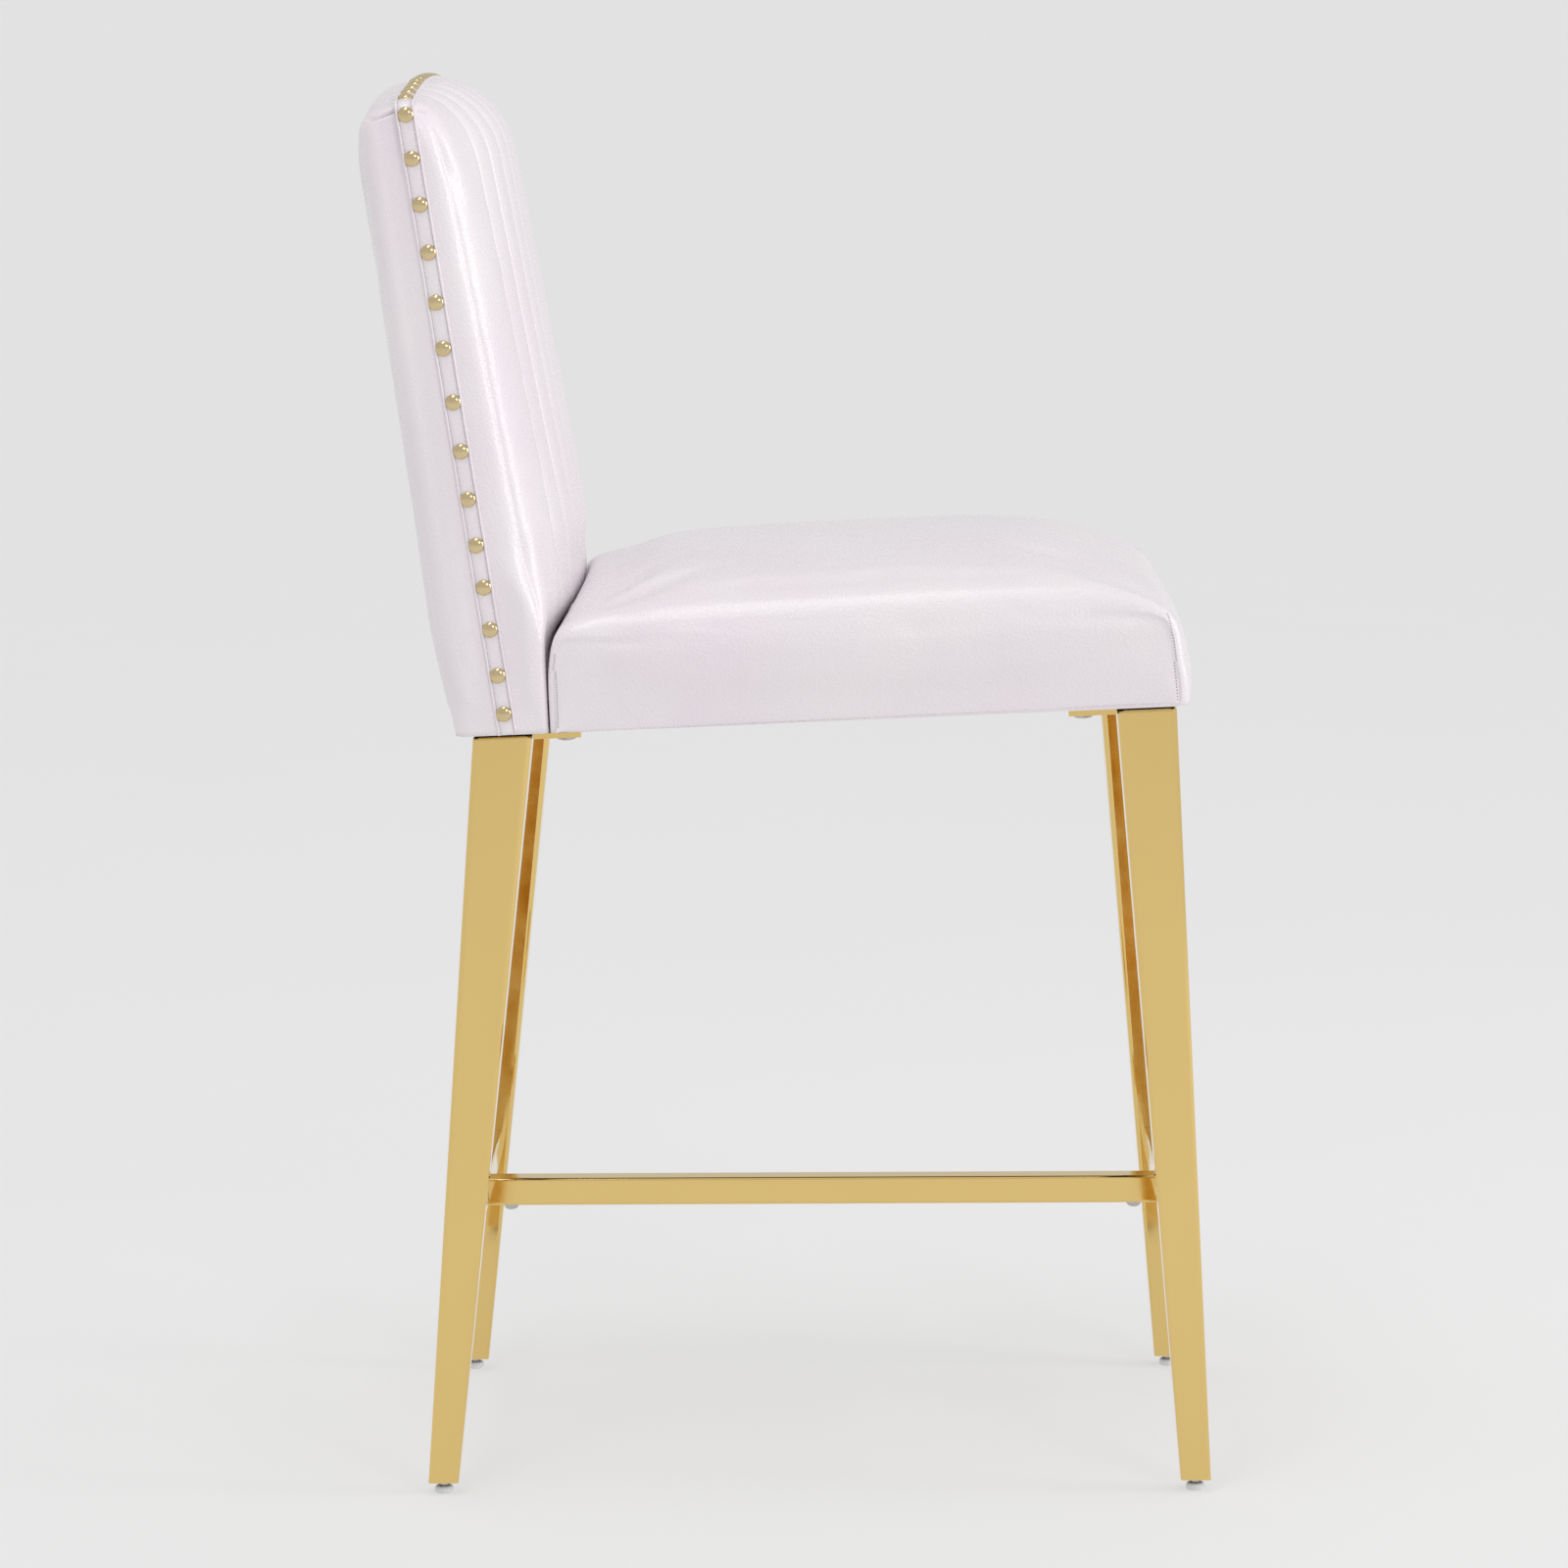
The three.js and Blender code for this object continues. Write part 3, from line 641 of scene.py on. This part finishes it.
def stitch(points, faces, start, end):
    """One stitch: a short bead of thread, thick in the middle. In metres."""
    sides, rings = 6, 5
    along = end - start
    across = np.cross(along, (1.0, 0.0, 0.0))
    across /= np.linalg.norm(across)
    out = np.array([1.0, 0.0, 0.0])
    base = len(points)
    for i in range(rings):
        t = i / (rings - 1)
        thick = STITCH_RADIUS * math.sin(math.pi * (0.12 + 0.76 * t))
        for k in range(sides):
            angle = 2 * math.pi * k / sides
            points.append(start + along * t + (across * math.cos(angle) + out * math.sin(angle)) * thick)
    for i in range(rings - 1):
        for k in range(sides):
            j = (k + 1) % sides
            faces.append([base + i * sides + k, base + i * sides + j,
                          base + (i + 1) * sides + j, base + (i + 1) * sides + k])
    faces.append([base + k for k in reversed(range(sides))])
    faces.append([base + (rings - 1) * sides + k for k in range(sides)])


# ---------------------------------------------------------------- back

def back_front_edge(z):
    return np.maximum(BACK_FOOT, 160.5 + 0.155 * (z - 67.0))


def back_rear_edge(z):
    return 233.3 + 0.0947 * z - 4.8 * np.maximum(0.0, 1 - z / 78.0) + 2.5 * smoothstep(120, 380, z)


def nail_line(z):
    return NAIL_FOOT + NAIL_LEAN * z


def rounding(height, drop):
    """How far an edge `drop` tall has turned in at a height, from 0 at its foot to 1 at the top."""
    share = np.clip((height - (BACK_TOP - drop)) / drop, 0.0, 1.0)
    return 1.0 - np.sqrt(np.maximum(0.0, 1.0 - share ** 2))


def back_shape(u, v, w, inset):
    """Points of the back's surface from grid values u and v in -1..1 and w in 0..1."""
    upright = 0.8
    foot = SEAT_BOTTOM + inset
    top = BACK_TOP - inset
    turn = np.clip((w - upright) / (1 - upright), 0, 1) * math.pi / 2
    share = np.clip(w / upright, 0, 1)
    height = foot + (top - BACK_ROUND - foot) * share + BACK_ROUND * np.sin(turn)
    level = height + inset
    bulge = 1 - abs(u) ** 2.2
    front = back_front_edge(height) + inset + (20.0 + 24.0 * bulge) * rounding(level, BACK_ROUND)
    fullness = smoothstep(50.0, 84.0, height) * (0.72 + 0.28 * smoothstep(90.0, 140.0, height))
    front = front - BACK_CROWN * bulge * fullness * (1 - 0.12 * rounding(level, BACK_ROUND))
    rear = back_rear_edge(height) - inset - 22.0 * rounding(level, 22.0) + BACK_REAR_CROWN * bulge
    a = BACK_HALF - inset
    b = (rear - front) / 2
    soft = np.clip(nail_line(height) - 8.0 - back_front_edge(height), BACK_CORNER, BACK_SOFT_CORNER)
    free = smoothstep(60.0, 130.0, height)
    front_corner = (BACK_CORNER - BACK_TUCK) * (1 - free) + soft * free
    x, y = round_plan(u * a, v * b, a, b, np.where(v < 0, front_corner, BACK_CORNER))
    x = x * (1 - 6.0 * rounding(level, 8.0) / a)
    rise = BACK_ARCH * (1 - (x / a) ** 2) * share
    y = y + (front + rear) / 2
    beside = abs(y - nail_line(height))
    puff = smoothstep(5.0, 15.0, beside) * smoothstep(4.0, 30.0, a - abs(x))
    rise = rise + TOP_PUFF * puff * rounding(level, 14.0)
    flank = smoothstep(6.0, 30.0, beside) * smoothstep(12.0, 34.0, height)
    flank = flank * np.clip(b - abs(v * b), 0.0, 12.0) / 12.0 * (1 - rounding(level, 30.0))
    x = x + np.sign(u) * SIDE_PUFF * flank * (abs(u) > 0.999)
    return np.stack([x, y, height + rise], 1)


def channel_profile(x):
    """How far the sewn channels stand out: 1 in the middle of a channel, 0 on a seam."""
    width = 2 * CHANNEL_HALF / CHANNELS
    phase = np.mod((x + CHANNEL_HALF) / width, 1.0)
    rib = 1 - abs(2 * phase - 1) ** 3.5
    return np.where(abs(x) <= CHANNEL_HALF, rib, np.clip((abs(x) - CHANNEL_HALF) / 7.0, 0.0, 1.0) ** 0.6)


def channel_steps():
    """Grid values across the back with a line on every seam and on both sides of it."""
    width = 2 * CHANNEL_HALF / CHANNELS
    steps = (0.0, 0.02, 0.06, 0.12, 0.22, 0.36, 0.5, 0.64, 0.78, 0.88, 0.94, 0.98)
    lines = []
    for k in range(CHANNELS):
        start = -CHANNEL_HALF + k * width
        lines += [start + width * t for t in steps]
    lines.append(CHANNEL_HALF)
    border = [
        155, 157, 160, 165, 173, 181, 188, 194, 198, 201, 204, 206.5, 208.5, 210.5, 212.5, BACK_HALF,
    ]
    lines = [-x for x in reversed(border)] + lines + border
    return np.array(lines) / BACK_HALF


def seam_distance(x):
    """Distance from the nearest channel seam, in millimetres."""
    width = 2 * CHANNEL_HALF / CHANNELS
    nearest = np.clip(np.round((x + CHANNEL_HALF) / width), 0, CHANNELS) * width - CHANNEL_HALF
    return abs(x - nearest)


def back_is_held(points):
    """The back's skin is sewn along its channels, nailed on its sides and stapled at its foot."""
    x, y, z = points.T
    line = nail_line(z)
    sewn = (seam_distance(x) < 2.6) & (y < line - 12) & (z > 110)
    nailed = (abs(y - line) < 6.0) & ((abs(x) > BACK_HALF - 6) | (z > BACK_TOP - 6))
    return sewn | nailed | (z < 8)


def split_faces(points, faces, keep):
    """The faces whose middle satisfies `keep`, with their own points."""
    chosen = [f for f in faces if keep(points[f].mean(0))]
    used = sorted({i for f in chosen for i in f})
    renumber = {old: new for new, old in enumerate(used)}
    return points[used], [[renumber[i] for i in f] for f in chosen]


def thicken(piece, thickness):
    shell = piece.modifiers.new("thickness", "SOLIDIFY")
    shell.thickness = thickness
    shell.offset = -1.0


def welded(piece):
    """Joins the points where patches of a skin meet."""
    mesh = bmesh.new()
    mesh.from_mesh(piece.data)
    bmesh.ops.remove_doubles(mesh, verts=mesh.verts, dist=2e-5)
    bmesh.ops.recalc_face_normals(mesh, faces=mesh.faces)
    mesh.to_mesh(piece.data)
    mesh.free()
    piece.data.shade_smooth()


def make_back():
    """The back's front and rear leather, parted along the line of the nails."""
    ys = edge_steps(33, 0.3)
    ws = np.concatenate([np.linspace(0.0, 0.8, 90), np.linspace(0.8, 1.0, 44)[1:]])
    grid, faces = box_grid(channel_steps(), ys, ws)
    points = back_shape(grid[:, 0], grid[:, 1], grid[:, 2], 0.0)
    moves = inflate(points, faces, back_is_held)

    x, y, z = points.T
    ahead = nail_line(z) - y
    pleat = np.exp(-((z - BACK_TOP + 3.0 + 0.14 * abs(ahead)) / 1.2) ** 2)
    pleat = pleat * smoothstep(202.0, 207.0, abs(x))
    pleat = pleat * smoothstep(6.0, 8.0, abs(ahead)) * smoothstep(-30.0, -24.0, ahead)
    front = smoothstep(5.0, 13.0, ahead)
    inner = smoothstep(4.0, 22.0, BACK_HALF - abs(x))
    reach = 0.35 * smoothstep(8.0, 25.0, z) + 0.65 * smoothstep(90.0, 200.0, z)
    rib = (channel_profile(x) - 1.0) * CHANNEL_DEPTH - SEAM_DEPTH * np.exp(-(seam_distance(x) / 1.3) ** 2)
    shape = points + normals_of(points, faces) * (rib * front * inner * reach - PLEAT_DEPTH * pleat)[:, None]
    free = np.where(front > 0.5, smoothstep(85.0, 125.0, z), smoothstep(8.0, 30.0, z))
    shape = shape + moves * free[:, None]
    shape[:, 1] += ripple(points, 150.0, 3) * 0.5 * smoothstep(100.0, 160.0, z)

    pieces = (
        ("back_front_leather", "back_front_cover", 0.8,
         lambda p: p[1] < nail_line(p[2]) and p[2] > OPEN_FOOT),
        ("back_rear_leather", "back_rear_cover", 0.9,
         lambda p: p[1] >= nail_line(p[2]) and p[2] > OPEN_FOOT),
    )
    for name, node, fill, keep in pieces:
        part_points, part_faces = split_faces(shape, faces, keep)
        piece = new_object(name, to_row(part_points), part_faces, LEATHER)
        thicken(piece, LEATHER_THICKNESS)
        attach(piece, BODY)
        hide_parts(node)


def make_back_padding():
    """The foam in front of the back's panel and the wadding behind its frame."""
    grid, faces = box_grid(np.linspace(-1, 1, 41), np.linspace(-1, 1, 7), np.linspace(0.0, 1.0, 41))
    foam = back_shape(grid[:, 0], grid[:, 1], grid[:, 2], BACK_FOAM_INSET)
    foam[:, 1] = np.minimum(foam[:, 1], 174.5 + 0.127 * foam[:, 2] - 1.6)
    foam[:, 2] = np.maximum(foam[:, 2], 30.0)
    wadding = back_shape(grid[:, 0], grid[:, 1], grid[:, 2], WADDING_INSET)
    wadding[:, 1] = np.maximum(wadding[:, 1], 225.3 + 0.0947 * wadding[:, 2] + 1.6)
    wadding[:, 2] = np.maximum(wadding[:, 2], 60.0)
    for name, node, shape in (
        ("back_foam_pad", "back_foam", foam), ("back_wadding", "back_rear_padding", wadding),
    ):
        piece = new_object(name, to_row(shape), faces, FOAM)
        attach(piece, BODY)
        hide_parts(node)


# ---------------------------------------------------------------- trim band and nails

def trim_path(count):
    """Middle line of the trim band: its points, outward directions and width directions."""
    radius = 6.0
    side = [(-BACK_HALF, z) for z in np.linspace(2.0, BACK_TOP - radius, count)]
    corner = [
        (-BACK_HALF + radius * (1 - math.cos(t)), BACK_TOP - radius + radius * math.sin(t))
        for t in np.linspace(0.0, math.pi / 2, 9)[1:-1]
    ]
    over = [(x, BACK_TOP) for x in np.linspace(radius - BACK_HALF, 0.0, count // 2)]
    half = side + corner + over
    flat = np.array(half + [(-x, z) for x, z in reversed(half[:-1])])
    x, z = flat[:, 0], flat[:, 1]
    share = np.clip(z / (BACK_TOP - BACK_ROUND), 0, 1)
    line = np.stack([x, nail_line(z), z + BACK_ARCH * (1 - (x / BACK_HALF) ** 2) * share], 1)
    tangent = np.gradient(line, axis=0)
    tangent /= np.linalg.norm(tangent, axis=1, keepdims=True)
    across = np.array([0.0, 1.0, 0.0]) - tangent * tangent[:, 1:2]
    across /= np.linalg.norm(across, axis=1, keepdims=True)
    outward = np.cross(across, tangent)
    outward *= np.sign(outward[:, 2:3] + outward[:, 0:1] * np.sign(x)[:, None])
    return line, outward, across


def nail_places():
    """Where the nails are: distances along the band, points on it and outward directions."""
    line, outward, _ = trim_path(TRIM_STEPS)
    lengths = arc_lengths(line)
    up_side = [float(np.interp(z, line[:TRIM_STEPS, 2], lengths[:TRIM_STEPS])) for z in NAIL_HEIGHTS]
    step = (lengths[-1] - 2 * up_side[-1]) / (NAILS_TOP + 1)
    rows = {
        "right": up_side,
        "top": [up_side[-1] + step * (k + 1) for k in range(NAILS_TOP)],
        "left": [lengths[-1] - s for s in up_side],
    }
    rng = np.random.default_rng(21)
    found = {}
    for row, values in rows.items():
        found[row] = []
        for s in values:
            point = np.array([np.interp(s, lengths, line[:, i]) for i in range(3)])
            normal = np.array([np.interp(s, lengths, outward[:, i]) for i in range(3)])
            point[1] += rng.uniform(-0.5, 0.5)
            found[row].append((s, point, normal / np.linalg.norm(normal)))
    return found


def make_trim(places):
    """A folded strip of leather that is drawn in at each nail."""
    line, outward, across = trim_path(TRIM_STEPS)
    lengths = arc_lengths(line)
    nails = np.array([s for row in places.values() for s, _, _ in row])
    near = np.min(abs(lengths[:, None] - nails[None, :]), axis=1)
    dip = np.exp(-(near / 7.0) ** 2)
    half = TRIM_WIDTH / 2
    # across the strip, out from the back
    section = [
        (-half, -0.4), (-half - 0.2, 0.7), (-half + 0.1, 1.9), (-half + 0.7, 2.3), (-half + 1.3, 2.0),
        (-half + 1.8, 0.35), (-half + 2.4, 1.45), (-1.8, 1.75), (0.0, 1.8), (1.8, 1.75), (half - 2.4, 1.45),
        (half - 1.8, 0.35), (half - 1.3, 2.0), (half - 0.7, 2.3), (half - 0.1, 1.9), (half + 0.2, 0.7),
        (half, -0.4),
    ]
    rings = []
    for wide, out in section:
        inner = 1 - (abs(wide) / half) ** 2
        crease = 0.22 * np.sin(lengths * 0.55 + 1.3 * np.sin(lengths * 0.11) + wide * 0.5)
        height = out + (crease * (1 - dip) - 0.6 * dip) * max(inner, 0.0)
        rings.append(line + across * wide + outward * height[:, None])
    rings = np.array(rings)
    count, n = len(section), len(line)
    points = rings.transpose(1, 0, 2).reshape(-1, 3)
    faces = []
    for i in range(n - 1):
        for k in range(count):
            j = (k + 1) % count
            faces.append([i * count + k, (i + 1) * count + k, (i + 1) * count + j, i * count + j])
    faces.append(list(range(count)))
    faces.append([(n - 1) * count + k for k in reversed(range(count))])
    band = new_object("back_trim_leather", to_row(points), faces, TRIM)
    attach(band, BODY)
    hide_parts("back_trim_band")


def dome(diameter, height):
    """A nail head: a low dome with a turned-in rim, its base on z = 0."""
    radius = diameter / 2
    sides = 28
    rim = 0.4
    profile = [(radius * 0.82, 0.0), (radius * 0.97, 0.12), (radius, rim)]
    for t in np.linspace(0.12, 1.0, 9)[:-1]:
        turn = t * math.pi / 2
        profile.append((radius * math.cos(turn), rim + (height - rim) * math.sin(turn)))
    points, faces = [], []
    for r, z in profile:
        for k in range(sides):
            angle = 2 * math.pi * k / sides
            points.append((r * math.cos(angle), r * math.sin(angle), z))
    for i in range(len(profile) - 1):
        for k in range(sides):
            j = (k + 1) % sides
            faces.append([i * sides + k, i * sides + j, (i + 1) * sides + j, (i + 1) * sides + k])
    crown = len(points)
    points.append((0.0, 0.0, height))
    last = (len(profile) - 1) * sides
    faces += [[last + k, last + (k + 1) % sides, crown] for k in range(sides)]
    faces.append([k for k in reversed(range(sides))])
    return np.array(points), faces


def make_nails(places):
    """The nail heads, one piece for each row of them."""
    head, head_faces = dome(NAIL_DIAMETER, NAIL_HEIGHT)
    for row, nails in places.items():
        points, faces = [], []
        for _, place, normal in nails:
            turn = Vector((0, 0, 1)).rotation_difference(Vector(normal)).to_matrix()
            base = len(points)
            for p in head:
                points.append(np.array(turn @ Vector(p)) + place + normal * NAIL_BASE)
            faces += [[base + i for i in f] for f in head_faces]
        piece = new_object(f"{row}_nail_heads", to_row(np.array(points)), faces, NAIL)
        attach(piece, BODY)


# ---------------------------------------------------------------- studio

# In metres, degrees and watts.
FLOOR_HALF = 120.0
SKY = 0.66
FLOOR_GLOW = 0.525
# name, place, the point it aims at, width and height, power
LIGHTS = (
    ("front", (-0.5, -3.4, 1.5), (0, 0, 0.6), (1.2, 1.8), 30),
    ("top", (-0.9, 0.3, 3.2), (0, 0, 0.5), (0.5, 1.8), 13),
    ("side", (-3.4, -1.8, 2.6), (0, 0, 0.6), (0.8, 0.8), 14),
)
CAMERA_PLACE = (-4.6075, -0.0403, 1.104)
CAMERA_PITCH = 7.807
CAMERA_HEADING = 0.571
CAMERA_ROLL = -0.375
CAMERA_LENS = 148.5


def make_studio():
    """A pale floor, soft lights and an even sky."""
    corners = [(x, y, 0.0) for x in (-FLOOR_HALF, FLOOR_HALF) for y in (-FLOOR_HALF, FLOOR_HALF)]
    g = Graph("pale_floor")
    paper = g.set(
        Base_Color=g.mix(g.noise(3.0), (0.33, 0.33, 0.33), (0.34, 0.34, 0.34)), Roughness=0.95,
        Specular_IOR_Level=0.1, Emission_Color=(1.0, 1.0, 1.0, 1.0), Emission_Strength=FLOOR_GLOW,
    )
    new_object("studio_floor", corners, [[0, 2, 3, 1]], paper)

    world = bpy.data.worlds.new("studio")
    world.use_nodes = True
    background = world.node_tree.nodes["Background"]
    background.inputs["Color"].default_value = (1.0, 1.0, 1.0, 1.0)
    background.inputs["Strength"].default_value = SKY
    bpy.context.scene.world = world

    def soft_light(name, place, aim, size, power):
        data = bpy.data.lights.new(name, "AREA")
        data.shape = "RECTANGLE"
        data.size, data.size_y = size
        data.energy = power
        lamp = bpy.data.objects.new(name, data)
        lamp.location = place
        lamp.rotation_euler = (Vector(aim) - Vector(place)).to_track_quat("-Z", "Y").to_euler()
        bpy.context.collection.objects.link(lamp)

    for light in LIGHTS:
        soft_light(*light)


def make_camera():
    """Looks along +X at the stool's right side, from a little above."""
    data = bpy.data.cameras.new("camera")
    data.lens = CAMERA_LENS
    data.sensor_width = 36.0
    camera = bpy.data.objects.new("camera", data)
    pitch = math.radians(CAMERA_PITCH)
    heading = math.radians(CAMERA_HEADING)
    roll = math.radians(CAMERA_ROLL)
    look = Euler((math.pi / 2 - pitch, 0.0, heading - math.pi / 2)).to_matrix()
    look = look @ Matrix.Rotation(roll, 3, "Z")
    camera.matrix_world = Matrix.Translation(CAMERA_PLACE) @ look.to_4x4()
    bpy.context.collection.objects.link(camera)
    bpy.context.scene.camera = camera
    bpy.context.scene.view_settings.view_transform = "Standard"


# ---------------------------------------------------------------- assembly

make_camera()
make_studio()
finish_frame_nodes()
make_seat_seams(make_seat())
make_back()
make_back_padding()
NAILS = nail_places()
make_trim(NAILS)
make_nails(NAILS)

bpy.context.view_layer.update()
